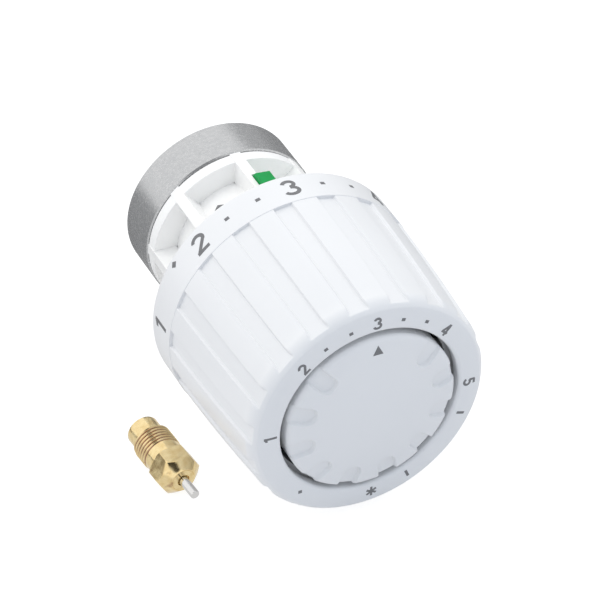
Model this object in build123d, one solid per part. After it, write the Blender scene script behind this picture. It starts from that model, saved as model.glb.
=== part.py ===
from build123d import *
import os
from math import cos, pi, radians, tan

# Thermostatic sensor head with its loose brass gland insert.
# Everything is drawn about the Y axis at a station: the distance in mm from the dial opening (0)
# towards the valve. Export moves the clamp bore's middle to the origin. +Z is up, and an angle
# counts from +Z towards +X.

# Driving dimensions of the head
scale_angle = 3.0            # where the selected number stands
dial_radius = 20.0           # opening in the front ring
front_radius = 26.5          # knob just behind its front rounding
waist_radius = 28.2          # knob at the rear end of its grip ribs
band_radius = 28.3           # plain rear band
rib_count = 18
groove_angle = 8.2
groove_depth = 0.6
groove_offset = -8.0         # from the selected number to the nearest groove's middle
rib_end = 35.2
knob_length = 44.0
knob_wall = 1.9
sleeve_radius = 21.4         # bearing sleeve that the knob turns on
hub_radius = sleeve_radius + 0.1
cam_radius = 22.8            # relief that stands for the knob's helical groove
hub_outer = 23.8

# Neck, cage and collar
neck_radius = 19.4
cage_ribs = 8
cage_rib_width = 2.4
rib_radius = 19.5            # the ribs stand a little proud of the flange
flange_front = 62.5
flange_rear = 65.1
spigot_radius = 15.1
spigot_end = 68.75
collar_radius = 19.7
collar_front = 65.4
collar_rear = 76.1
neck_bore = 17.0             # 34 mm valve neck
neck_seat = 70.2             # the neck's end face stops here
neck_entry = 75.4            # the bore widens into its entry chamfer from here
clamp_station = (neck_seat + neck_entry) / 2
collar_web = 67.5
screw_angle = 165.0
screw_radius = 2.0
shoe_half_angle = 12.0

# Sensor
disc_radius = 18.8
disc_crown = -2.2
carrier_radius = 19.3
key_radius = 22.4
capsule_radius = 15.9
sheet = 0.6
lid_station = 30.2
plate_station = 11.0
bellows_folds = 8
spindle_radius = 3.0
running = 0.05
seat_station = 42.2
guide_station = 54.5
spindle_end = 65.0
cap_front = 63.0
cap_rear = 68.6

# Green stroke limiter
limiter_angle = 8.5
limiter_station = 54.3
limiter_width = 3.4
limiter_length = 5.4

# Gland insert, lying beside the knob on the same surface
gland_x = -32.5
gland_front = 21.5           # station of its front face
hex_flats = 8.7
gland_z = hex_flats / 2 - band_radius
thread_radius = 4.3
pin_radius = 1.0
pin_reach = 5.1
gland_turn = 4.0             # how far it lies turned from the head's axis
gland_middle = 7.2           # from its front face to the point that it is turned about


def turned(*outline):
    """A solid of revolution about Y from (radius, station) points."""
    return revolve(make_face(Polyline(*outline, close=True)), Axis.Y, 360)


def ring(inner, outer, start, end):
    return turned((inner, start), (outer, start), (outer, end), (inner, end))


def disc(radius, start, end):
    return turned((0, start), (radius, start), (radius, end), (0, end))


def at_angle(angle, shape):
    return Rot(0, angle, 0) * shape


def around(count, shape, first=0.0):
    """Copies of a shape made at +Z, evenly spaced about Y."""
    return [at_angle(first + 360 / count * i, shape) for i in range(count)]


def block(width, inner, outer, start, end, shift=0.0):
    """A box at +Z: width across X, inner to outer along Z."""
    middle = Pos(shift, (start + end) / 2, (inner + outer) / 2)
    return middle * Box(width, end - start, outer - inner)


def post(radius, inner, outer, station):
    """A round post at +Z that stands along Z."""
    return Pos(0, station, (inner + outer) / 2) * Cylinder(radius, outer - inner)


def sector(inner, outer, start, end, half_angle):
    """Part of a ring, half_angle each side of +Z."""
    reach = outer * 1.5
    side = reach * tan(radians(half_angle))
    triangle = Plane.XZ * make_face(Polyline((0, 0), (side, reach), (-side, reach), close=True))
    wedge = extrude(triangle, start - end)
    return ring(inner, outer, start, end) & Pos(0, start, 0) * wedge


def coil(radius, wire, start, end, turns):
    """A wire helix about Y."""
    pitch = (end - start) / turns
    path = Helix(pitch, end - start, radius, center=(0, start, 0), direction=(0, 1, 0))
    section = Plane(path @ 0, z_dir=path % 0) * Circle(wire / 2)
    return sweep(section, path=path)


# Knob

def knob_skin(offset=0.0):
    """Front ring, grip and band edges, moved in by offset."""
    return [
        ThreePointArc((20.6, 0.05), (23.0, 0.12), (25.0 - offset, 0.5)),
        ThreePointArc((25.0 - offset, 0.5), (26.05 - offset, 1.75), (front_radius - offset, 3.8)),
        ThreePointArc((front_radius - offset, 3.8), (27.6 - offset, 19.5), (waist_radius - offset, rib_end)),
    ]


def knob():
    skin = knob_skin()
    band = [
        Polyline((waist_radius, rib_end), (band_radius, rib_end), (band_radius, 43.2)),
        ThreePointArc((band_radius, 43.2), (28.07, 43.77), (27.5, knob_length)),
    ]
    inside = Polyline(
        (27.5, knob_length), (band_radius - knob_wall, knob_length), (band_radius - knob_wall, 35.0),
        (24.7, 8.0), (hub_outer, 8.0), (hub_outer, 26.5), (hub_radius, 26.5), (hub_radius, 24.0),
        (cam_radius, 24.0), (cam_radius, 9.0), (hub_radius, 9.0), (hub_radius, 7.0), (cam_radius, 7.0),
        (cam_radius, 2.6), (dial_radius, 2.6), (dial_radius, 0.7),
    )
    edge = ThreePointArc((dial_radius, 0.7), (20.18, 0.23), (20.6, 0.05))
    body = revolve(make_face([*skin, *band, inside, edge]), Axis.Y, 360)
    return body - around(rib_count, knob_groove(), scale_angle + groove_offset)


def knob_groove():
    """One shallow groove between two grip ribs. Its floor runs out into the front rounding."""
    floor = knob_skin(groove_depth)[2]
    outside = Polyline(
        (waist_radius - groove_depth, rib_end), (31.0, rib_end), (31.0, -1.0),
        (front_radius - groove_depth - 0.33, -1.0), (front_radius - groove_depth, 3.8),
    )
    cutter = revolve(make_face([floor, outside]), Axis.Y, groove_angle)
    return at_angle(-90 - groove_angle / 2, cutter)


def knob_ring():
    gap = block(5.0, 19.0, 24.0, 5.0, 7.5)
    return ring(20.6, 22.6, 5.7, 6.7) - at_angle(180, gap)


# Fixed parts

def base_cage():
    body = turned(
        (sleeve_radius, 5.0), (sleeve_radius, 5.6), (20.6, 5.6), (20.6, 6.8), (sleeve_radius, 6.8),
        (sleeve_radius, 40.5), (25.8, 40.5), (25.8, 42.0), (21.0, 42.0), (17.6, 49.0),
        (14.1, flange_front), (neck_radius, flange_front), (neck_radius, flange_rear),
        (spigot_radius, flange_rear), (spigot_radius, 67.55), (14.4, 67.55), (14.4, 68.35),
        (spigot_radius, 68.35), (spigot_radius, spigot_end), (12.2, spigot_end), (12.2, 63.0),
        (15.8, 49.0), (19.0, 42.0), (19.6, 39.0), (19.6, 5.0),
    )
    body += ring(5.2, 14.3, 56.0, 58.0)
    body += around(cage_ribs, block(cage_rib_width, 14.3, rib_radius, 44.0, collar_front - 0.03), scale_angle)
    body += around(cage_ribs, block(cage_rib_width, 17.6, 18.7, 65.0, 66.1), scale_angle)
    body -= around(4, block(5.0, 18.0, 23.0, 12.2, 23.2), 45.0)
    room = block(limiter_width + 0.4, 16.6, 21.0, limiter_station - 2.9, limiter_station + 2.9)
    body += at_angle(limiter_angle, post(2.2, 14.6, 16.6, limiter_station))
    body -= at_angle(limiter_angle, room)
    body -= at_angle(limiter_angle, post(1.15, 10.0, 18.0, limiter_station))
    return body


def mounting_collar():
    body = turned(
        (spigot_radius + 0.1, collar_front), (19.4, collar_front), (collar_radius, 65.7),
        (collar_radius, 75.7), (19.3, collar_rear), (17.7, collar_rear), (neck_bore, neck_entry),
        (neck_bore, neck_seat), (16.4, neck_seat), (16.4, collar_web),
        (spigot_radius + 0.1, collar_web),
    )
    boss = post(4.3, 17.6, 22.6, clamp_station) - disc(17.5, 60.0, 80.0)
    body += at_angle(screw_angle, boss)
    body -= around(cage_ribs, block(2.8, 17.4, 18.9, 64.0, 66.4), scale_angle)
    body -= at_angle(screw_angle, post(screw_radius + running, 15.0, 24.0, clamp_station))
    pocket = sector(16.5, 18.3, clamp_station - 2.4, clamp_station + 2.4, shoe_half_angle + 1)
    return body - at_angle(screw_angle, pocket)


def collar_ring():
    gap = block(5.0, 13.0, 18.0, 66.0, 70.0)
    return ring(14.45, 16.1, collar_web + 0.1, 68.3) - at_angle(180, gap)


def clamp_shoe():
    shoe = sector(neck_bore + 0.05, 18.15, clamp_station - 2.2, clamp_station + 2.2, shoe_half_angle)
    return at_angle(screw_angle, shoe)


def clamp_screw():
    shank = post(screw_radius, 18.2, 22.2, clamp_station)
    socket = Pos(0, clamp_station, 21.2) * extrude(RegularPolygon(1.15, 6), 2.0)
    return at_angle(screw_angle, chamfer(shank.edges().sort_by(Axis.Z)[0], 0.3) - socket)


def spindle_guide():
    return turned(
        (spindle_radius + running, guide_station), (7.0, guide_station), (7.0, 56.0), (5.2, 56.0),
        (5.2, 58.1), (4.6, 58.1), (4.6, 58.9), (5.2, 58.9), (5.2, 59.4), (spindle_radius + running, 59.4),
    )


def guide_clip():
    gap = block(3.0, 3.0, 8.0, 57.0, 60.0)
    return ring(4.6, 6.4, 58.15, 58.85) - at_angle(90, gap)


def limiter_pin():
    head = block(limiter_width, 16.7, 20.5, limiter_station - 2.7, limiter_station + 2.7)
    rear_top = head.edges().filter_by(Axis.X).sort_by(Axis.Z)[-2:].sort_by(Axis.Y)[-1]
    head = chamfer(rear_top, 1.5, 0.9)
    return at_angle(limiter_angle, head + post(1.1, 12.6, 17.0, limiter_station))


# Sensor unit

def finger_recess():
    """A round-ended scoop that opens through the disc's rim."""
    half = 1.85
    slot = block(2 * half, 15.3, 21.0, -4.0, -0.25)
    nose = Pos(0, -2.125, 15.3) * Rot(90, 0, 0) * Cylinder(half, 3.75)
    return slot + nose


def front_disc():
    crown = [
        ThreePointArc((0, disc_crown), (9.5, -1.777), (17.6, -0.74)),
        ThreePointArc((17.6, -0.74), (18.45, -0.35), (disc_radius, 0.8)),
    ]
    under = Polyline(
        (disc_radius, 0.8), (disc_radius, 8.5), (17.4, 8.5), (17.4, 2.2), (0, 1.2), (0, disc_crown),
    )
    body = revolve(make_face([*crown, under]), Axis.Y, 360)
    angles = [45 + 30 * i for i in range(10)]
    return body - [at_angle(scale_angle + a, finger_recess()) for a in angles]


def sensor_carrier():
    body = turned(
        (capsule_radius + 0.1, 5.0), (17.35, 5.0), (17.35, 8.5), (carrier_radius, 8.5),
        (carrier_radius, 34.0), (12.5, 34.0), (12.5, 32.0), (capsule_radius + 0.1, 32.0),
    )
    return body + around(4, block(4.6, 18.8, key_radius, 14.0, 20.0), 45.0)


def sensor_capsule():
    inner = capsule_radius - sheet
    return turned(
        (0, 7.0), (capsule_radius - 1.0, 7.0), (capsule_radius, 8.0), (capsule_radius, 31.6),
        (inner, 31.6), (inner, 8.4), (capsule_radius - 1.4, 7.0 + sheet), (0, 7.0 + sheet),
    )


def capsule_lid():
    return turned(
        (9.9, lid_station), (capsule_radius - sheet, lid_station), (capsule_radius - sheet, 31.4),
        (8.0, 31.4), (8.0, 30.9), (9.9, 30.9),
    )


def charge_tube():
    return disc(1.2, 4.2, 7.0) - block(4.0, 0.5, 2.0, 3.5, 5.6) - block(4.0, -2.0, -0.5, 3.5, 5.6)


def bellows():
    """Thin corrugated tube: its outline zigzags out along the outside and back along the inside."""
    start = plate_station + 1.0
    step = (30.9 - start) / (2 * bellows_folds)
    inner, outer, skin = 7.1, 9.4, 0.35
    crests = [(outer if i % 2 else inner, start + step * i) for i in range(2 * bellows_folds + 1)]
    outside = [(r + skin, y) for r, y in crests]
    return turned(*outside, *reversed(crests))


def pressure_plate():
    return turned(
        (0, plate_station), (7.4, plate_station), (7.4, 12.0), (4.4, 12.0), (4.4, 14.5),
        (spindle_radius, 14.5), (spindle_radius, 12.4), (0, 12.4),
    )


def spindle():
    return turned(
        (0, 12.4), (spindle_radius, 12.4), (spindle_radius, 41.4), (2.5, 41.4), (2.5, seat_station),
        (spindle_radius, seat_station), (spindle_radius, spindle_end - 0.4),
        (spindle_radius - 0.4, spindle_end), (0, spindle_end),
    )


def spring_seat():
    return turned(
        (spindle_radius, seat_station), (6.8, seat_station), (6.8, 43.4), (4.0, 43.4), (4.0, 44.6),
        (spindle_radius, 44.6),
    )


def seat_clip():
    gap = block(2.5, 2.0, 6.0, 41.0, 43.0)
    return ring(2.5, 4.6, 41.45, 42.15) - at_angle(90, gap)


def return_spring():
    return coil(5.2, 0.9, 43.9, 54.0, 4.5)


def contact_cap():
    bore = spindle_radius + running
    return turned(
        (bore, cap_front), (4.6, cap_front), (4.6, 67.8), (3.8, cap_rear), (0, cap_rear), (0, 67.3),
        (bore, 67.3),
    )


def overtravel_spring():
    return coil(2.1, 0.45, 65.3, 67.05, 3)


# Gland insert, drawn with its front face at 0 and moved to its place

def gland_place(shape):
    turn = Pos(0, gland_middle, 0) * Rot(0, 0, gland_turn) * Pos(0, -gland_middle, 0)
    return Pos(gland_x, gland_front, gland_z) * turn * shape


def gland_body():
    corner = hex_flats / 2 / cos(pi / 6)
    outline = Plane.XZ * RegularPolygon(corner, 6)
    hexagon = Pos(0, 3.0, 0) * extrude(outline, 3.0, both=True)
    cone = turned((0, 0), (2.7, 0), (corner + 0.05, 2.3), (corner + 0.05, 5.7), (4.6, 6.0), (0, 6.0))
    stem = turned(
        (0, 5.0), (3.9, 5.0), (3.9, 8.8), (thread_radius, 8.95), (thread_radius, 13.9),
        (thread_radius - 0.35, 14.2), (3.55, 14.2), (3.55, 17.7), (3.35, 17.9), (0, 17.9),
    )
    bore = turned(
        (0, -1), (2.5, -1), (2.5, 5.6), (2.0, 5.6), (2.0, 14.4), (2.4, 14.4), (2.4, 19.0), (0, 19.0),
    )
    return gland_place((hexagon & cone) + stem - bore)


def gland_bush():
    return gland_place(turned(
        (1.35, 0), (2.5, 0), (2.5, 3.0), (pin_radius + running, 3.0), (pin_radius + running, 0.9), (1.35, 0.6),
    ))


def gland_seal():
    section = Pos(1.76, 3.85) * Circle(0.72)
    return gland_place(revolve(section, Axis.Y, 360))


def gland_washer():
    return gland_place(ring(pin_radius + running, 2.5, 4.7, 5.5))


def gland_rear_guide():
    return gland_place(ring(pin_radius + running, 2.4, 14.5, 16.0))


def press_pin():
    return gland_place(turned(
        (0, -pin_reach), (pin_radius - 0.15, -pin_reach), (pin_radius, 0.15 - pin_reach), (pin_radius, 7.0),
        (1.7, 7.0), (1.7, 8.0), (pin_radius, 8.0), (pin_radius, 17.0), (0, 17.0),
    ))


nodes = {
    "base_cage": base_cage,
    "mounting_collar": mounting_collar,
    "collar_ring": collar_ring,
    "clamp_shoe": clamp_shoe,
    "clamp_screw": clamp_screw,
    "spindle_guide": spindle_guide,
    "guide_clip": guide_clip,
    "limiter_pin": limiter_pin,
    "knob": knob,
    "knob_ring": knob_ring,
    "front_disc": front_disc,
    "sensor_carrier": sensor_carrier,
    "sensor_capsule": sensor_capsule,
    "capsule_lid": capsule_lid,
    "charge_tube": charge_tube,
    "bellows": bellows,
    "pressure_plate": pressure_plate,
    "spindle": spindle,
    "spring_seat": spring_seat,
    "seat_clip": seat_clip,
    "return_spring": return_spring,
    "contact_cap": contact_cap,
    "overtravel_spring": overtravel_spring,
    "gland_body": gland_body,
    "gland_bush": gland_bush,
    "gland_seal": gland_seal,
    "gland_washer": gland_washer,
    "gland_rear_guide": gland_rear_guide,
    "press_pin": press_pin,
}

os.makedirs("parts", exist_ok=True)
for name, make in nodes.items():
    export_step(Pos(0, -clamp_station, 0) * make(), f"parts/{name}.step")
    print("wrote", name)
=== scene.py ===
import bmesh
import bpy
import numpy as np
from math import cos, pi, radians, sin
from mathutils import Matrix, Vector


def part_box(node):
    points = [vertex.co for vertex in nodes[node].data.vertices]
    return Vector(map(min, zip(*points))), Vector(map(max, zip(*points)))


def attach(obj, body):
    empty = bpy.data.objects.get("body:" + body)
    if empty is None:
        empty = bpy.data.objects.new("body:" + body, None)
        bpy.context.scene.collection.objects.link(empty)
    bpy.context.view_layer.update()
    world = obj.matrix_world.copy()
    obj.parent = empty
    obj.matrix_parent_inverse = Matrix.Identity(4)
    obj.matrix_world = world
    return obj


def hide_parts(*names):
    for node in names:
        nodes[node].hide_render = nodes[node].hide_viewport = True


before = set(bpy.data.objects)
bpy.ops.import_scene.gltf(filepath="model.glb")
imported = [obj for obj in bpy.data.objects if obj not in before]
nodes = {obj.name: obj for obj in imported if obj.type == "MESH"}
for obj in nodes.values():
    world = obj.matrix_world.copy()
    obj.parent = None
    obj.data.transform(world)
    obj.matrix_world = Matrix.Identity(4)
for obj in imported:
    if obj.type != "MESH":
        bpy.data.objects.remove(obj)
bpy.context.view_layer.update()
mm = 0.001
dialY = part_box("knob")[1].y - 44 * mm  # the dial opening's plane; stations count from here
scaleAngle = 3.0  # where the selected number stands, from +Z towards +X


def arc(start, middle, end, count):
    # Points along the circle through three points: centre from the two chords, angle swept evenly.
    (ax, ay), (bx, by), (cx, cy) = start, middle, end
    d = 2 * (ax * (by - cy) + bx * (cy - ay) + cx * (ay - by))
    sa, sb, sc = ax * ax + ay * ay, bx * bx + by * by, cx * cx + cy * cy
    centre = np.array([sa * (by - cy) + sb * (cy - ay) + sc * (ay - by),
                       sa * (cx - bx) + sb * (ax - cx) + sc * (bx - ax)]) / d
    turns = [np.arctan2(p[1] - centre[1], p[0] - centre[0]) for p in (start, middle, end)]
    turns = np.unwrap(turns)
    radius = np.hypot(ax - centre[0], ay - centre[1])
    a = np.linspace(turns[0], turns[2], count)
    return np.column_stack([centre[0] + radius * np.cos(a), centre[1] + radius * np.sin(a)])


def line(points, step=None):
    # Straight runs through the points, divided where step asks for it.
    out = [np.array(points[0], float)]
    for a, b in zip(points[:-1], points[1:]):
        a, b = np.array(a, float), np.array(b, float)
        parts = 1 if step is None else max(1, int(np.ceil(np.linalg.norm(b - a) / step)))
        out += [a + (b - a) * k / parts for k in range(1, parts + 1)]
    return np.array(out)


def smooth(x):
    # 0 below 0, 1 above 1, and 3x² - 2x³ between.
    x = np.clip(x, 0, 1)
    return x * x * (3 - 2 * x)


def bodyOf(radius, station, angle):
    # Radius, station in mm and angle in radians from +Z towards +X, as points in metres.
    radius, station, angle = np.broadcast_arrays(radius, station, angle)
    return np.stack([radius * mm * np.sin(angle), dialY + station * mm, radius * mm * np.cos(angle)], -1)


def meshPiece(name, points, faces, material, sharp=35):
    # A mesh object from vertex and face arrays, faces turned outwards, smooth below the sharp angle.
    mesh = bpy.data.meshes.new(name)
    mesh.from_pydata(points.reshape(-1, 3), [], [list(f) for f in faces])
    work = bmesh.new()
    work.from_mesh(mesh)
    bmesh.ops.remove_doubles(work, verts=work.verts, dist=2e-7)
    bmesh.ops.dissolve_degenerate(work, edges=work.edges, dist=1e-8)
    bmesh.ops.recalc_face_normals(work, faces=work.faces)
    work.to_mesh(mesh)
    work.free()
    mesh.polygons.foreach_set("use_smooth", [True] * len(mesh.polygons))
    mesh.set_sharp_from_angle(angle=radians(sharp))
    piece = bpy.data.objects.new(name, mesh)
    bpy.context.scene.collection.objects.link(piece)
    mesh.materials.append(material)
    return piece


def gridFaces(rows, cols, wrapRows=False, wrapCols=True):
    # Quads between neighbours of a rows by cols grid of vertices.
    r = np.arange(rows if wrapRows else rows - 1)[:, None]
    c = np.arange(cols if wrapCols else cols - 1)[None, :]
    r2, c2 = (r + 1) % rows, (c + 1) % cols
    quads = np.stack(np.broadcast_arrays(r * cols + c, r * cols + c2, r2 * cols + c2, r2 * cols + c), -1)
    return quads.reshape(-1, 4)


def turnedPiece(name, outline, material, angles=None, change=None, closed=True, sharp=35):
    # An outline of (radius, station) rows carried round Y; change(radius, station, angle) bends the grid.
    # A row at radius 0 closes at a pole, because its vertices merge.
    angles = np.radians(np.arange(0, 360, 2.0) if angles is None else angles)
    radius, station = np.array(outline, float).T
    r, y, a = np.broadcast_arrays(radius[:, None], station[:, None], angles[None, :])
    if change:
        r, y = change(r, y, a)
    points = bodyOf(r, y, a)
    return meshPiece(name, points, gridFaces(len(outline), len(angles), closed), material, sharp)


def ribbon(path, width):
    # A flat stroke: each path point steps half a width to both sides of the path's direction.
    path = np.array(path, float)
    along = np.gradient(path, axis=0)
    along /= np.linalg.norm(along, axis=1)[:, None]
    across = np.column_stack([-along[:, 1], along[:, 0]]) * width / 2
    points = np.stack([path + across, path - across], 1)
    return points.reshape(-1, 2), gridFaces(len(path), 2, False, False)


def bowl(x, y, radius, start, end, count=18, squash=1.0):
    # A bowed stroke's path round (x, y), angles in degrees from the right.
    a = np.radians(np.linspace(start, end, count))
    return np.column_stack([x + radius * squash * np.cos(a), y + radius * np.sin(a)])


def joined(strokes):
    # One vertex and face list from several.
    points, faces, base = [], [], 0
    for p, f in strokes:
        points.append(p)
        faces.append(f + base)
        base += len(p)
    return np.vstack(points), np.vstack(faces)


def link(tree, a, b):
    tree.links.new(a, b)


def node(tree, kind, **values):
    made = tree.nodes.new(kind)
    for key, value in values.items():
        if hasattr(made, key) and not key[0].isupper():
            setattr(made, key, value)
        else:
            made.inputs[key].default_value = value
    return made


def grainGroup():
    # Fine surface grain: two noises on object coordinates, given out as a height and a slow mask.
    group = bpy.data.node_groups.new("surfaceGrain", "ShaderNodeTree")
    for name, low in (("Fine Scale", 2500.0), ("Broad Scale", 60.0), ("Detail", 4.0)):
        group.interface.new_socket(name, in_out="INPUT", socket_type="NodeSocketFloat").default_value = low
    for name in ("Height", "Mask"):
        group.interface.new_socket(name, in_out="OUTPUT", socket_type="NodeSocketFloat")
    start, end = group.nodes.new("NodeGroupInput"), group.nodes.new("NodeGroupOutput")
    place = group.nodes.new("ShaderNodeTexCoord")
    fine, broad = group.nodes.new("ShaderNodeTexNoise"), group.nodes.new("ShaderNodeTexNoise")
    for noise, scale in ((fine, "Fine Scale"), (broad, "Broad Scale")):
        link(group, place.outputs["Object"], noise.inputs["Vector"])
        link(group, start.outputs[scale], noise.inputs["Scale"])
        link(group, start.outputs["Detail"], noise.inputs["Detail"])
    link(group, fine.outputs["Fac"], end.inputs["Height"])
    link(group, broad.outputs["Fac"], end.inputs["Mask"])
    return group


grain = grainGroup()


def placed(tree, group, **values):
    made = tree.nodes.new("ShaderNodeGroup")
    made.node_tree = group
    for key, value in values.items():
        made.inputs[key.replace("_", " ")].default_value = value
    return made


def ranged(tree, source, low, high, fromLow=0.3, fromHigh=0.7):
    # A mask spread over a value range.
    made = node(tree, "ShaderNodeMapRange")
    for key, value in (("From Min", fromLow), ("From Max", fromHigh), ("To Min", low), ("To Max", high)):
        made.inputs[key].default_value = value
    link(tree, source, made.inputs["Value"])
    return made.outputs["Result"]


def blendColour(tree, mask, low, high):
    made = tree.nodes.new("ShaderNodeMix")
    made.data_type = "RGBA"
    made.inputs[6].default_value = (*low, 1) if not hasattr(low, "links") else (0, 0, 0, 1)
    if hasattr(low, "links"):
        link(tree, low, made.inputs[6])
    made.inputs[7].default_value = (*high, 1)
    link(tree, mask, made.inputs[0])
    return made.outputs[2]


def surface(name, low, high, roughness, metallic=0.0, bump=0.05, depth=0.02,
            fine=2500.0, broad=60.0, detail=4.0, specular=0.5, brushed=None):
    # A finish: colour and roughness wander with a slow mask, bump follows the grain or brushed lines.
    material = bpy.data.materials.new(name)
    material.use_nodes = True
    tree = material.node_tree
    shader = tree.nodes["Principled BSDF"]
    shader.inputs["Metallic"].default_value = metallic
    shader.inputs["Specular IOR Level"].default_value = specular
    rough = placed(tree, grain, Fine_Scale=fine, Broad_Scale=broad, Detail=detail)
    colour = blendColour(tree, ranged(tree, rough.outputs["Mask"], 0, 1), low, high)
    link(tree, colour, shader.inputs["Base Color"])
    link(tree, ranged(tree, rough.outputs["Mask"], *roughness), shader.inputs["Roughness"])
    height = rough.outputs["Height"]
    if brushed:
        place = tree.nodes.new("ShaderNodeTexCoord")
        mapping = tree.nodes.new("ShaderNodeMapping")
        mapping.inputs["Scale"].default_value = brushed
        lines = node(tree, "ShaderNodeTexNoise", Scale=1.0, Detail=2.0)
        link(tree, place.outputs["Object"], mapping.inputs["Vector"])
        link(tree, mapping.outputs["Vector"], lines.inputs["Vector"])
        height = lines.outputs["Fac"]
    relief = tree.nodes.new("ShaderNodeBump")
    relief.inputs["Strength"].default_value = bump
    relief.inputs["Distance"].default_value = depth * mm
    link(tree, height, relief.inputs["Height"])
    link(tree, relief.outputs["Normal"], shader.inputs["Normal"])
    return material


def painted():
    # Pad-printed grey ink, a little uneven.
    return surface("printInk", (0.165, 0.165, 0.17), (0.21, 0.21, 0.215), (0.45, 0.6),
                   fine=6000.0, broad=900.0)


finishes = {
    "whitePlastic": surface("whitePlastic", (0.835, 0.838, 0.842), (0.855, 0.857, 0.86), (0.30, 0.38),
                            bump=0.08, depth=0.012, fine=9000.0, broad=45.0),
    # the cage's white is lighter than the knob's plastic: painted light that lifts the shade inside its
    # windows
    "cageWhitePaintedLight": surface("cageWhitePaintedLight", (0.955, 0.95, 0.935), (0.97, 0.965, 0.95), (0.34, 0.45),
                         bump=0.08, depth=0.012, fine=7000.0, broad=70.0),
    "innerPlastic": surface("innerPlastic", (0.62, 0.62, 0.58), (0.7, 0.7, 0.66), (0.5, 0.62), fine=3500.0),
    "greenPlastic": surface("greenPlastic", (0.0, 0.31, 0.06), (0.0, 0.36, 0.08), (0.4, 0.5),
                            fine=5000.0, broad=300.0, specular=0.25),
    "darkPlastic": surface("darkPlastic", (0.012, 0.012, 0.013), (0.02, 0.02, 0.022), (0.5, 0.6),
                           specular=0.3),
    "dieCast": surface("dieCast", (0.50, 0.505, 0.51), (0.60, 0.60, 0.60), (0.22, 0.3), metallic=0.66,
                       bump=0.3, depth=0.03, fine=3200.0, broad=1500.0, detail=8.0),
    "pinSteel": surface("pinSteel", (0.66, 0.655, 0.65), (0.80, 0.79, 0.78), (0.06, 0.12), metallic=1.0,
                        bump=0.05, depth=0.005, brushed=(600, 5000, 600)),
    "steel": surface("steel", (0.55, 0.55, 0.56), (0.7, 0.7, 0.7), (0.16, 0.3), metallic=1.0,
                     bump=0.12, depth=0.01, broad=500.0, brushed=(2500, 400, 2500)),
    "aluminiumSheet": surface("aluminiumSheet", (0.66, 0.66, 0.67), (0.78, 0.78, 0.78), (0.3, 0.42),
                              metallic=1.0,
                              bump=0.1, depth=0.01, brushed=(900, 6000, 900)),
    "copper": surface("copper", (0.6, 0.28, 0.16), (0.75, 0.42, 0.28), (0.3, 0.42),
                      metallic=1.0, fine=3000.0),
    "bronze": surface("bronze", (0.6, 0.38, 0.18), (0.72, 0.5, 0.28), (0.25, 0.4), metallic=1.0, fine=3000.0),
    "rubber": surface("rubber", (0.015, 0.015, 0.016), (0.03, 0.03, 0.03), (0.5, 0.7), bump=0.15, depth=0.02),
    "ink": painted(),
}


def brassFinish(name, threadShadeTone):
    # Turned brass: rings of tool marks round Y, brown tarnish where a patchy mask is high, and
    # painted shade, a darker tone where the piece's own shade attribute is 1, down in its thread's roots.
    material = surface(name, (0.80, 0.60, 0.29), (0.95, 0.78, 0.44), (0.12, 0.22), metallic=1.0,
                       bump=0.10, depth=0.01, fine=2500.0, broad=700.0, detail=6.0, brushed=(500, 9000, 500))
    tree = material.node_tree
    shader = tree.nodes["Principled BSDF"]
    colour = shader.inputs["Base Color"].links[0].from_socket
    stain = placed(tree, grain, Fine_Scale=1400.0, Broad_Scale=380.0, Detail=8.0)
    spots = ranged(tree, stain.outputs["Mask"], 0, 0.7, 0.60, 0.74)
    colour = blendColour(tree, spots, colour, (0.36, 0.20, 0.12))
    # painted shade in the thread's roots, blended in by the piece's attribute
    low = tree.nodes.new("ShaderNodeAttribute")
    low.attribute_name = "threadShade"
    link(tree, blendColour(tree, low.outputs["Fac"], colour, threadShadeTone), shader.inputs["Base Color"])
    return material


# the last colour is the painted shade down in the thread's roots
finishes["brass"] = brassFinish("turnedBrass", (0.30, 0.13, 0.10))
print("finishes made")


wheel = {"ribs": 18, "grooveHalf": 4.1, "grooveEdge": 0.42, "grooveDepth": 0.6, "grooveAt": scaleAngle - 8.0,
         "flare": 0.7, "ribEnd": 35.2, "front": 26.5, "waist": 28.2, "band": 28.3}


def wheelAngles():
    # Columns crowded at each groove's two edges, the same in every pitch.
    half, edge = wheel["grooveHalf"], wheel["grooveEdge"]
    near = half + edge * np.array([-1.4, -1, -0.75, -0.45, -0.15, 0.15, 0.45, 0.75, 1, 1.3, 1.8])
    side = np.concatenate([[0.0, 1.5, 2.8], near, np.linspace(near[-1] + 0.5, 10, 6)])
    pitch = np.concatenate([-side[:0:-1], side])[:-1]
    return np.concatenate([wheel["grooveAt"] + 20 * i + pitch for i in range(wheel["ribs"])])


def wheelOutline():
    # The knob's section from the dial opening over the grip and the band, and back inside.
    # The third value says how deep a groove cuts each row.
    front, waist, band, end = wheel["front"], wheel["waist"], wheel["band"], wheel["ribEnd"]
    lip = arc((20.0, 0.9), (20.25, 0.25), (20.9, 0.05), 8)
    face = arc((20.9, 0.05), (23.0, 0.12), (25.0, 0.5), 17)[1:]
    nose = arc((25.0, 0.5), (26.05, 1.75), (front, 3.8), 30)[1:]
    grip = arc((front, 3.8), (27.6, 19.5), (waist, end - 0.12), 16)[1:]
    step = line([(waist, end), (band, end + 0.06), (band, end + 0.5)])
    rear = line([(band, end + 0.5), (band, 43.0)], 2.6)[1:]
    turn = arc((band, 43.0), (28.05, 43.72), (27.4, 44.0), 7)[1:]
    inside = line([(26.9, 43.97), (26.5, 43.6), (26.4, 42.0), (26.4, 35.0), (24.7, 8.0), (23.8, 8.0),
                   (23.8, 26.5), (21.5, 26.5), (21.5, 24.0), (22.8, 24.0), (22.8, 9.0), (21.5, 9.0),
                   (21.5, 7.0), (22.8, 7.0), (22.8, 2.6), (20.0, 2.6)])
    rows = [lip, face, nose, grip, step, rear, turn, inside]
    cut = [np.zeros(len(lip)), np.zeros(len(face)), np.ones(len(nose)), np.ones(len(grip)),
           np.array([1.0, 0.0, 0.0]), np.zeros(len(rear)), np.zeros(len(turn)), np.zeros(len(inside))]
    return np.vstack(rows), np.concatenate(cut)


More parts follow.
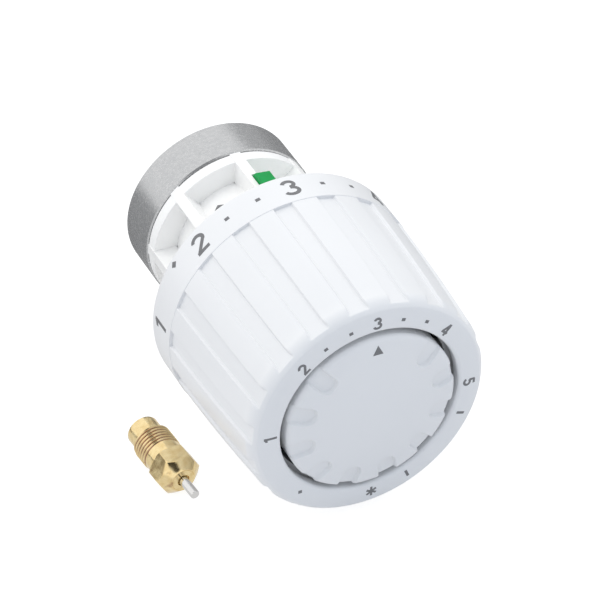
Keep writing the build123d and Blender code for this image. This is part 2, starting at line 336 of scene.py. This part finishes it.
def makeWheel():
    outline, cut = wheelOutline()

    def grooves(r, y, a):
        # the groove's floor is the grip's own line, a depth lower and run straight on to the front, where it
        # leaves through the rounding; its walls follow the distance in degrees from the nearest
        # groove's middle
        off = np.abs((np.degrees(a) - wheel["grooveAt"] + 10) % 20 - 10)
        half = wheel["grooveHalf"] + wheel["flare"] * np.clip((4.6 - y) / 3, 0, 1) ** 2
        trough = smooth((half + wheel["grooveEdge"] - off) / (2 * wheel["grooveEdge"]))
        floor = np.where(y < 3.8, wheel["front"] + (y - 3.8) * 0.07, r) - wheel["grooveDepth"]
        return r - trough * np.maximum(r - floor, 0) * cut[:, None], y

    piece = turnedPiece("handwheel", outline, finishes["whitePlastic"], wheelAngles(), grooves, sharp=50)
    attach(piece, "knob")
    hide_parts("knob")
    return piece


makeWheel()
print("handwheel made")


cap = {"radius": 18.8, "crown": -2.2, "sphere": 106.6, "recesses": 10, "firstRecess": 45.0, "pitch": 30.0,
       "tipCentre": 15.35, "half": 1.95, "edge": 0.38, "depth": 0.85}


def makeDisc():
    inner = np.column_stack([np.concatenate([[0, 1.5, 4, 7, 9.5, 11.5], np.arange(12.6, 17.65, 0.1)])] * 2)
    inner[:, 1] = cap["crown"] + inner[:, 0] ** 2 / (2 * cap["sphere"])
    edge = arc((17.65, -0.73), (18.42, -0.38), (cap["radius"], 0.8), 12)
    skirt = line([(18.8, 1.2), (18.8, 2.0), (18.8, 8.4), (18.7, 8.5), (17.4, 8.5), (17.4, 2.4), (0, 1.4)])
    outline = np.vstack([inner, edge, skirt])

    def recesses(r, y, a):
        # signed distance in mm to a round-nosed slot along the nearest recess's radius
        half = cap["pitch"] / 2
        off = (np.degrees(a) - scaleAngle - cap["firstRecess"] + half) % 360 - half
        index = np.clip(np.round(off / cap["pitch"]), 0, cap["recesses"] - 1)
        away = np.radians(off - index * cap["pitch"])
        along, across = r * np.cos(away), r * np.sin(away)
        behind = np.hypot(along - cap["tipCentre"], across)
        side = np.where(along > cap["tipCentre"], np.abs(across), behind) - cap["half"]
        side = np.where(np.cos(away) > 0, side, 9.0)
        front = (np.arange(len(outline)) < len(inner) + len(edge) + 1)[:, None]
        sunk = smooth(0.5 - side / cap["edge"]) * front
        return r, y + cap["depth"] * sunk

    piece = turnedPiece("dialDisc", outline, finishes["whitePlastic"], np.arange(0, 360, 0.5), recesses,
                        closed=False, sharp=60)
    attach(piece, "sensor_unit")
    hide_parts("front_disc")


makeDisc()
print("front disc made")


ink = {"lift": 0.03, "thick": 0.05, "ringRadius": 22.35, "bandStation": 39.6,
       "ringTall": 2.8, "ringStroke": 0.53, "bandTall": 5.0, "bandStroke": 0.84, "bandWide": 1.1}
glyphs = {
    "1": [line([(0.36, 0.0), (0.36, 1.0)], 0.25), bowl(0.10, 1.02, 0.23, -90, -25, 8)],
    "2": [bowl(0.31, 0.70, 0.215, 172, -32, 20, 1.15), line([(0.53, 0.62), (0.08, 0.10)], 0.1),
          line([(0.0, 0.08), (0.60, 0.08)], 0.14)],
    "3": [bowl(0.28, 0.735, 0.18, 165, -85, 18, 1.25), bowl(0.28, 0.30, 0.215, 90, -165, 22, 1.25)],
    "4": [line([(0.42, 0.0), (0.42, 1.0)], 0.25), line([(0.40, 0.97), (0.08, 0.30)], 0.2),
          line([(0.0, 0.28), (0.60, 0.28)], 0.15)],
    "5": [line([(0.12, 0.92), (0.53, 0.92)], 0.14), line([(0.15, 0.95), (0.10, 0.50)], 0.2),
          bowl(0.27, 0.33, 0.235, 138, -160, 24, 1.1)],
    "star": [line([(-0.5 * cos(t), 0.5 - 0.5 * sin(t)), (0.5 * cos(t), 0.5 + 0.5 * sin(t))], 0.25)
             for t in (pi / 6, pi / 2, 5 * pi / 6)],
}


def glyph(kind, height, stroke, wide=1.0):
    # a sign's strokes scaled to height and centred, as flat vertices and faces
    paths = [np.array(path) * [wide, 1.0] * height for path in glyphs[kind]]
    points, faces = joined([ribbon(path, stroke) for path in paths])
    return points - [(points[:, 0].max() + points[:, 0].min()) / 2, height / 2], faces


def bar(width, height, turn=0.0):
    # a rectangle of a few rows, turned about its middle
    points, faces = ribbon(line([(0, -height / 2), (0, height / 2)], height / 6), width)
    a = radians(turn)
    return points @ np.array([[cos(a), sin(a)], [-sin(a), cos(a)]]), faces


def wedge(width, height):
    # a triangle with its point up, as rows that narrow evenly
    t = np.linspace(0, 1, 9)[:, None]
    across = np.hstack([-(1 - t), 0 * t, 1 - t]) * width / 2
    points = np.stack([across, np.repeat((t - 0.5) * height, 3, 1)], -1)
    return points.reshape(-1, 2), gridFaces(9, 3, False, False)


def ringHeight(radius):
    # the front ring's station at a radius, read off its own crown
    crown = arc((20.9, 0.05), (23.0, 0.12), (25.0, 0.5), 40)
    return np.interp(radius, crown[:, 0], crown[:, 1])


def domeHeight(radius):
    return cap["crown"] + radius ** 2 / (2 * cap["sphere"])


def onFace(points, angle, radius, height):
    # a flat sign with its top outwards, laid on a surface whose station is height(radius)
    a = radians(angle)
    px = radius * sin(a) + points[:, 0] * cos(a) + points[:, 1] * sin(a)
    pz = radius * cos(a) - points[:, 0] * sin(a) + points[:, 1] * cos(a)
    r = np.hypot(px, pz)
    return bodyOf(r, height(r) - ink["lift"], np.arctan2(px, pz))


def onRound(points, angle, station, radius):
    # a flat sign wrapped round Y with its top towards the valve; radius(station) is the surface's
    r = radius(station + points[:, 1])
    return bodyOf(r + ink["lift"], station + points[:, 1], radians(angle) + points[:, 0] / r)


def printPiece(name, signs, body):
    # all signs of one scale in one thin skin of ink, wound to face away from the head's middle
    points, faces = joined(signs)
    quads = points[faces]
    normal = np.cross(quads[:, 2] - quads[:, 0], quads[:, 3] - quads[:, 1])
    middle = quads.mean(1)
    inside = np.array([0, dialY + 38 * mm, 0])
    away = middle - inside
    if body == "knob" and name == "ringScale" or body == "sensor_unit":
        away = np.tile([0.0, -1.0, 0.0], (len(middle), 1))
    flip = (normal * away).sum(1) < 0
    faces[flip] = faces[flip][:, ::-1]
    mesh = bpy.data.meshes.new(name)
    mesh.from_pydata(points, [], faces.tolist())
    piece = bpy.data.objects.new(name, mesh)
    bpy.context.scene.collection.objects.link(piece)
    mesh.materials.append(finishes["ink"])
    skin = piece.modifiers.new("skin", "SOLIDIFY")
    skin.thickness = ink["thick"] * mm
    skin.offset = -1
    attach(piece, body)
    return piece


def ringScale():
    at = scaleAngle
    numbers = [(0, "3"), (45, "4"), (89.5, "5"), (-90.5, "1"), (-45, "2")]
    signs = [(glyph(kind, ink["ringTall"], ink["ringStroke"]), angle) for angle, kind in numbers]
    signs += [(bar(0.85, 0.7), angle) for angle in (15, 30, -15, -30)]
    signs += [(bar(0.8, 0.8, 45), -138), (bar(0.6, 1.9), 110), (bar(0.6, 1.9), 154.5)]
    signs += [(glyph("star", 2.5, 0.52), 176)]
    laid = [(onFace(points, at + angle, ink["ringRadius"], ringHeight), faces)
            for (points, faces), angle in signs]
    return printPiece("ringScale", laid, "knob")


def bandScale():
    at, y = scaleAngle, ink["bandStation"]
    numbers = [(0, "3"), (45, "4"), (89.5, "5"), (-88, "1"), (-45, "2")]
    signs = [(glyph(kind, ink["bandTall"], ink["bandStroke"], ink["bandWide"]), angle, y)
             for angle, kind in numbers]
    signs += [(bar(1.05, 0.85), angle, y) for angle in (15, 30, -15, -30)]
    signs += [(bar(1.25, 1.15, 45), -60, y + 2.4), (bar(0.8, 3.4), 110, y), (bar(0.8, 3.4), 154.5, y)]
    signs += [(glyph("star", 3.6, 0.8), 176, y), (bar(1.2, 1.2, 45), -138, y)]
    laid = [(onRound(points, at + angle, station, lambda s: wheel["band"] + 0 * s), faces)
            for (points, faces), angle, station in signs]
    return printPiece("bandScale", laid, "knob")


def arrows():
    # one on the domed disc for the number, one on the neck's inner cone for the stroke limiter
    points, faces = wedge(2.3, 2.1)
    disc = [(onFace(points, scaleAngle, 16.4, domeHeight), faces)]
    printPiece("discArrow", disc, "sensor_unit")
    points, faces = wedge(4.6, 2.3)
    cone = [(onRound(points, -26, 56.3, lambda s: 17.6 - (s - 49) * 3.5 / 13.5), faces)]
    printPiece("neckArrow", cone, "cage")


ringScale()
bandScale()
arrows()
print("scales printed")


def softened(nodeName, name, material, bevel, body):
    # The node's own shape with merged corners and a small round on every sharp edge.
    mesh = nodes[nodeName].data.copy()
    work = bmesh.new()
    work.from_mesh(mesh)
    bmesh.ops.remove_doubles(work, verts=work.verts, dist=2e-6)
    bmesh.ops.dissolve_limit(work, angle_limit=radians(0.6), verts=work.verts, edges=work.edges)
    work.to_mesh(mesh)
    work.free()
    piece = bpy.data.objects.new(name, mesh)
    bpy.context.scene.collection.objects.link(piece)
    mesh.materials.clear()
    mesh.materials.append(material)
    mesh.polygons.foreach_set("use_smooth", [True] * len(mesh.polygons))
    mesh.set_sharp_from_angle(angle=radians(32))
    round_ = piece.modifiers.new("edges", "BEVEL")
    round_.width = bevel * mm
    round_.segments = 2
    round_.limit_method = "ANGLE"
    round_.angle_limit = radians(32)
    round_.harden_normals = True
    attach(piece, body)
    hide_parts(nodeName)
    return piece


softened("base_cage", "neckCage", finishes["cageWhitePaintedLight"], 0.18, "cage")
softened("limiter_pin", "strokeLimiter", finishes["greenPlastic"], 0.2, "limiter_pin")
softened("clamp_screw", "clampScrew", finishes["steel"], 0.08, "clamp_screw")
softened("contact_cap", "contactCap", finishes["innerPlastic"], 0.15, "contact_cap")
print("softened copies made")


gland = {"x": -32.5, "front": 21.5, "pivot": 7.2, "turn": 4.0, "flats": 4.35, "face": 2.7, "slope": 1.006,
         "hexEnd": 6.0, "neck": 4.05, "threadStart": 8.8, "threadEnd": 14.05, "crest": 4.3,
         "threadDepth": 0.45, "pitch": 0.85, "threadStep": 0.065, "stub": 3.55, "stubStart": 14.1,
         "end": 17.9, "bore": 2.5, "pinBore": 2.0, "guideBore": 2.4, "boreEnd": 5.6, "guideStart": 14.4}


def glandPoints(radius, t, angle):
    # radius and t along the gland's own axis, turned on the floor plane about its middle
    axisZ = (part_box("press_pin")[0].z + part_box("press_pin")[1].z) / 2
    a = radians(gland["turn"])
    x, y = radius * np.sin(angle), t - gland["pivot"]
    return np.stack([(gland["x"] + x * cos(a) - y * sin(a)) * mm,
                     dialY + (gland["front"] + gland["pivot"] + x * sin(a) + y * cos(a)) * mm,
                     axisZ + radius * np.cos(angle) * mm], -1)


def threadRadius(t, angle):
    # a ridge: a triangle wave of t plus one pitch per turn, its crest and root cut flat, faded at the ends
    phase = (t / gland["pitch"] + angle / (2 * pi)) % 1
    wave = np.clip(0.5 + 1.25 * (np.abs(phase * 2 - 1) - 0.5), 0, 1)
    start, end = smooth((t - gland["threadStart"]) / 0.35), smooth((gland["threadEnd"] - t) / 0.4)
    cut = gland["crest"] - gland["threadDepth"] + gland["threadDepth"] * wave
    return gland["neck"] + (cut - gland["neck"]) * start - 0.45 * (1 - end)


def makeGland():
    plain = np.arange(0, 360, 3.0)
    plain = plain[np.abs((plain - 30) % 60 - 30) < 28.5]
    corner = (60 * np.arange(6)[:, None] + 30 + np.array([[-0.5, 0.5]])).ravel()
    angle = np.radians(np.sort(np.concatenate([corner, plain])))[None, :]
    flat = gland["flats"] / np.cos((angle + pi / 6) % (pi / 3) - pi / 6)
    # the cone in front meets each flat further back at its corners, and the corners are chamfered behind
    meet = (flat - gland["face"]) / gland["slope"]
    back = gland["hexEnd"] - 0.3 * smooth((flat - 4.6) / 0.42)
    ones = np.ones_like(angle)
    bore, face, neck, stub = gland["bore"], gland["face"], gland["neck"], gland["stub"]
    pinBore, guideBore, end, hexEnd = gland["pinBore"], gland["guideBore"], gland["end"], gland["hexEnd"]
    rows = [(bore, gland["boreEnd"]), (bore, 0.06), (bore + 0.05, 0), (face - 0.04, 0)]
    rows += [(face + u * (flat - face), u * meet) for u in (0.015, 0.25, 0.5, 0.75, 0.965)]
    rows += [(flat - 0.012, meet + 0.02), (flat, meet + 0.07)]
    rows += [(flat, meet + 0.07 + u * (back - 0.1 - meet)) for u in (0.2, 0.4, 0.6, 0.8)]
    rows += [(flat, back - 0.03), (flat - 0.03, back + 0.01), (np.minimum(flat - 0.04, 4.5), hexEnd + 0.01)]
    rows += [(neck + 0.06, hexEnd + 0.04), (neck, hexEnd + 0.1)]
    rows += [(neck, t) for t in (6.5, 7.1, 7.7, 8.2, 8.6)]
    turns = np.arange(gland["threadStart"], gland["threadEnd"] + 0.01, gland["threadStep"])
    rows += [(threadRadius(t * ones, angle), t) for t in turns]
    rows += [(stub + 0.04, gland["stubStart"]), (stub, gland["stubStart"] + 0.15)]
    rows += [(stub, t) for t in (15.2, 16.2, 17.1, end - 0.25)]
    rows += [(stub - 0.06, end - 0.1), (stub - 0.22, end), (bore, end), (guideBore, end - 0.08)]
    rows += [(guideBore, gland["guideStart"]), (pinBore, gland["guideStart"]), (pinBore, gland["boreEnd"])]
    grids = [(r * ones, t * ones) for r, t in rows]
    radius, t = np.vstack([r for r, t in grids]), np.vstack([t for r, t in grids])
    points = glandPoints(radius, t, np.broadcast_to(angle, radius.shape))
    faces = gridFaces(len(rows), angle.size, wrapRows=True)
    piece = meshPiece("glandInsert", points, faces, finishes["brass"], 28)
    # painted shade for the thread: 1 down in its roots, 0 on the crests and off the thread
    cut = (t > gland["threadStart"] + 0.1) & (t < gland["threadEnd"] - 0.2)
    threadShade = np.where(cut, np.clip((gland["crest"] - 0.12 - radius) / 0.25, 0, 1), 0).ravel()
    if len(piece.data.vertices) == threadShade.size:
        layer = piece.data.attributes.new("threadShade", "FLOAT", "POINT")
        layer.data.foreach_set("value", threadShade.astype(np.float32))
    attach(piece, "gland")
    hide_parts("gland_body")


makeGland()
softened("press_pin", "pressPin", finishes["pinSteel"], 0.1, "press_pin")
print("gland made")

nodeFinish = {
    "mounting_collar": "dieCast", "collar_ring": "steel", "clamp_shoe": "steel",
    "spindle_guide": "innerPlastic",
    "guide_clip": "steel", "knob_ring": "steel", "return_spring": "steel", "sensor_carrier": "darkPlastic",
    "sensor_capsule": "aluminiumSheet", "capsule_lid": "aluminiumSheet", "charge_tube": "copper",
    "bellows": "bronze", "pressure_plate": "aluminiumSheet", "spindle": "steel", "spring_seat": "steel",
    "seat_clip": "steel", "overtravel_spring": "steel", "gland_bush": "brass",
    "gland_seal": "rubber", "gland_washer": "brass", "gland_rear_guide": "brass",
}
for name, finish in nodeFinish.items():
    nodes[name].data.materials.clear()
    nodes[name].data.materials.append(finishes[finish])


studio = {
    # world radiance for matt surfaces, and the plain backdrop
    "top": 1.12, "low": 0.87, "behind": 0.45, "side": 0.09, "cameraSky": 0.93,
    # what shiny surfaces mirror: a bright room, the floor's painted reflection in front and behind,
    "card": 1.07, "floorFront": 0.8, "floorBack": 0.19,
    # a grey flat low behind on the right, and a dark gap in front, high up
    "shade": (0.69, 0.69, -0.21), "shadeCos": 0.775, "shadeTone": 0.36,
    "gap": (-0.15, -0.71, 0.69), "gapCos": 0.945, "gapTone": 0.05,
    "key": 0.46,
}


def makeFloor():
    # pale and evenly lit to the eye, an ordinary matt surface to the light that bounces off it, and to shiny
    # surfaces a painted reflection: a glow that dims from the front to behind the head
    mesh = bpy.data.meshes.new("floor")
    low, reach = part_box("knob")[0].z - 0.05 * mm, 6.0
    mesh.from_pydata([(-reach, -reach, low), (reach, -reach, low), (reach, reach, low), (-reach, reach, low)],
                     [], [(0, 1, 2, 3)])
    floor = bpy.data.objects.new("floor", mesh)
    bpy.context.scene.collection.objects.link(floor)
    material = bpy.data.materials.new("paleFloor")
    material.use_nodes = True
    tree = material.node_tree
    tree.nodes.clear()
    out, ray = tree.nodes.new("ShaderNodeOutputMaterial"), tree.nodes.new("ShaderNodeLightPath")
    matt, seen, glow = (tree.nodes.new("ShaderNodeBsdfDiffuse"), tree.nodes.new("ShaderNodeBsdfDiffuse"),
                        tree.nodes.new("ShaderNodeEmission"))
    matt.inputs["Color"].default_value = (0.82, 0.82, 0.83, 1)
    seen.inputs["Color"].default_value = (0.30, 0.30, 0.30, 1)
    glow.inputs["Strength"].default_value = 0.86
    # painted reflection: what shiny parts mirror of the floor glows bright in front and dim behind the head
    dark = tree.nodes.new("ShaderNodeEmission")
    place, split = tree.nodes.new("ShaderNodeTexCoord"), tree.nodes.new("ShaderNodeSeparateXYZ")
    link(tree, place.outputs["Object"], split.inputs[0])
    fade = ranged(tree, split.outputs["Y"], studio["floorFront"], studio["floorBack"], -20 * mm, 25 * mm)
    link(tree, fade, dark.inputs["Strength"])
    both, pick, shiny = (tree.nodes.new("ShaderNodeAddShader"), tree.nodes.new("ShaderNodeMixShader"),
                         tree.nodes.new("ShaderNodeMixShader"))
    link(tree, seen.outputs[0], both.inputs[0])
    link(tree, glow.outputs[0], both.inputs[1])
    link(tree, ray.outputs["Is Glossy Ray"], shiny.inputs[0])
    link(tree, matt.outputs[0], shiny.inputs[1])
    link(tree, dark.outputs[0], shiny.inputs[2])
    link(tree, ray.outputs["Is Camera Ray"], pick.inputs[0])
    link(tree, shiny.outputs[0], pick.inputs[1])
    link(tree, both.outputs[0], pick.inputs[2])
    link(tree, pick.outputs[0], out.inputs[0])
    mesh.materials.append(material)


def softbox(name, place, target, size, power):
    # an area light aimed at a point
    data = bpy.data.lights.new(name, "AREA")
    data.shape = "RECTANGLE"
    data.size, data.size_y = size
    data.energy = power
    lamp = bpy.data.objects.new(name, data)
    lamp.location = place
    lamp.rotation_euler = (Vector(target) - Vector(place)).to_track_quat("-Z", "Y").to_euler()
    lamp.visible_glossy = False
    bpy.context.scene.collection.objects.link(lamp)


def spotMask(tree, direction, towards, cosine, soft):
    # 1 inside a round patch of sky about a direction, 0 outside it
    dot = node(tree, "ShaderNodeVectorMath", operation="DOT_PRODUCT")
    link(tree, direction, dot.inputs[0])
    dot.inputs[1].default_value = Vector(towards).normalized()
    return ranged(tree, dot.outputs["Value"], 0, 1, cosine - soft, cosine + soft)


def makeWorld():
    # Matt surfaces see a soft gradient, brightest overhead and behind, cooler in front.
    # Shiny ones see a bright room with a grey flat and a dark gap in it.
    world = bpy.data.worlds.new("studioWorld")
    world.use_nodes = True
    tree = world.node_tree
    ground, out = tree.nodes["Background"], tree.nodes["World Output"]
    place, split = tree.nodes.new("ShaderNodeTexCoord"), tree.nodes.new("ShaderNodeSeparateXYZ")
    link(tree, place.outputs["Generated"], split.inputs[0])
    upward = ranged(tree, split.outputs["Z"], studio["low"], studio["top"], -0.2, 0.9)
    behind = ranged(tree, split.outputs["Y"], 1 - studio["behind"], 1 + studio["behind"], -1, 1)
    right = ranged(tree, split.outputs["X"], 1 - studio["side"], 1 + studio["side"], -1, 1)
    both = node(tree, "ShaderNodeMath", operation="MULTIPLY")
    whole = node(tree, "ShaderNodeMath", operation="MULTIPLY")
    link(tree, upward, both.inputs[0])
    link(tree, behind, both.inputs[1])
    link(tree, both.outputs[0], whole.inputs[0])
    link(tree, right, whole.inputs[1])
    link(tree, whole.outputs[0], ground.inputs["Strength"])
    facing = ranged(tree, split.outputs["Y"], 0, 1, -1, 0.3)
    link(tree, blendColour(tree, facing, (0.84, 0.95, 1.12), (1.0, 0.995, 0.985)), ground.inputs["Color"])
    card = tree.nodes.new("ShaderNodeBackground")
    shade = spotMask(tree, place.outputs["Generated"], studio["shade"], studio["shadeCos"], 0.012)
    gap = spotMask(tree, place.outputs["Generated"], studio["gap"], studio["gapCos"], 0.02)
    tone = blendColour(tree, shade, (studio["card"],) * 3, (studio["shadeTone"],) * 3)
    link(tree, blendColour(tree, gap, tone, (studio["gapTone"],) * 3), card.inputs["Color"])
    plain = tree.nodes.new("ShaderNodeBackground")
    plain.inputs["Strength"].default_value = studio["cameraSky"]
    ray, shiny, pick = (tree.nodes.new("ShaderNodeLightPath"), tree.nodes.new("ShaderNodeMixShader"),
                        tree.nodes.new("ShaderNodeMixShader"))
    link(tree, ray.outputs["Is Glossy Ray"], shiny.inputs[0])
    link(tree, ground.outputs[0], shiny.inputs[1])
    link(tree, card.outputs[0], shiny.inputs[2])
    link(tree, ray.outputs["Is Camera Ray"], pick.inputs[0])
    link(tree, shiny.outputs[0], pick.inputs[1])
    link(tree, plain.outputs[0], pick.inputs[2])
    link(tree, pick.outputs[0], out.inputs["Surface"])
    bpy.context.scene.world = world


def makeLight():
    makeWorld()
    middle = (0, dialY + 30 * mm, 0)
    softbox("topLight", (-0.25, 0.2, 0.6), middle, (0.35, 0.35), studio["key"])


lens = {"azimuth": -26.21, "elevation": 40.06, "distance": 0.6753, "across": -14.23, "above": 22.12,
        "focal": 202.509, "sensor": 36.0}


def makeCamera():
    a, e = radians(lens["azimuth"]), radians(lens["elevation"])
    back = Vector((sin(a) * cos(e), -cos(a) * cos(e), sin(e)))
    right = Vector((cos(a), sin(a), 0))
    up = back.cross(right)
    aim = Vector((0, dialY, 0)) + right * lens["across"] * mm + up * lens["above"] * mm
    data = bpy.data.cameras.new("camera")
    data.sensor_width = lens["sensor"]
    data.lens = lens["focal"]
    data.clip_start, data.clip_end = 0.05, 20
    camera = bpy.data.objects.new("camera", data)
    turn = Matrix((right, up, back)).transposed().to_4x4()
    camera.matrix_world = Matrix.Translation(aim + back * lens["distance"]) @ turn
    bpy.context.scene.collection.objects.link(camera)
    bpy.context.scene.camera = camera


makeFloor()
makeLight()
makeCamera()
bpy.context.scene.view_settings.view_transform = "Standard"
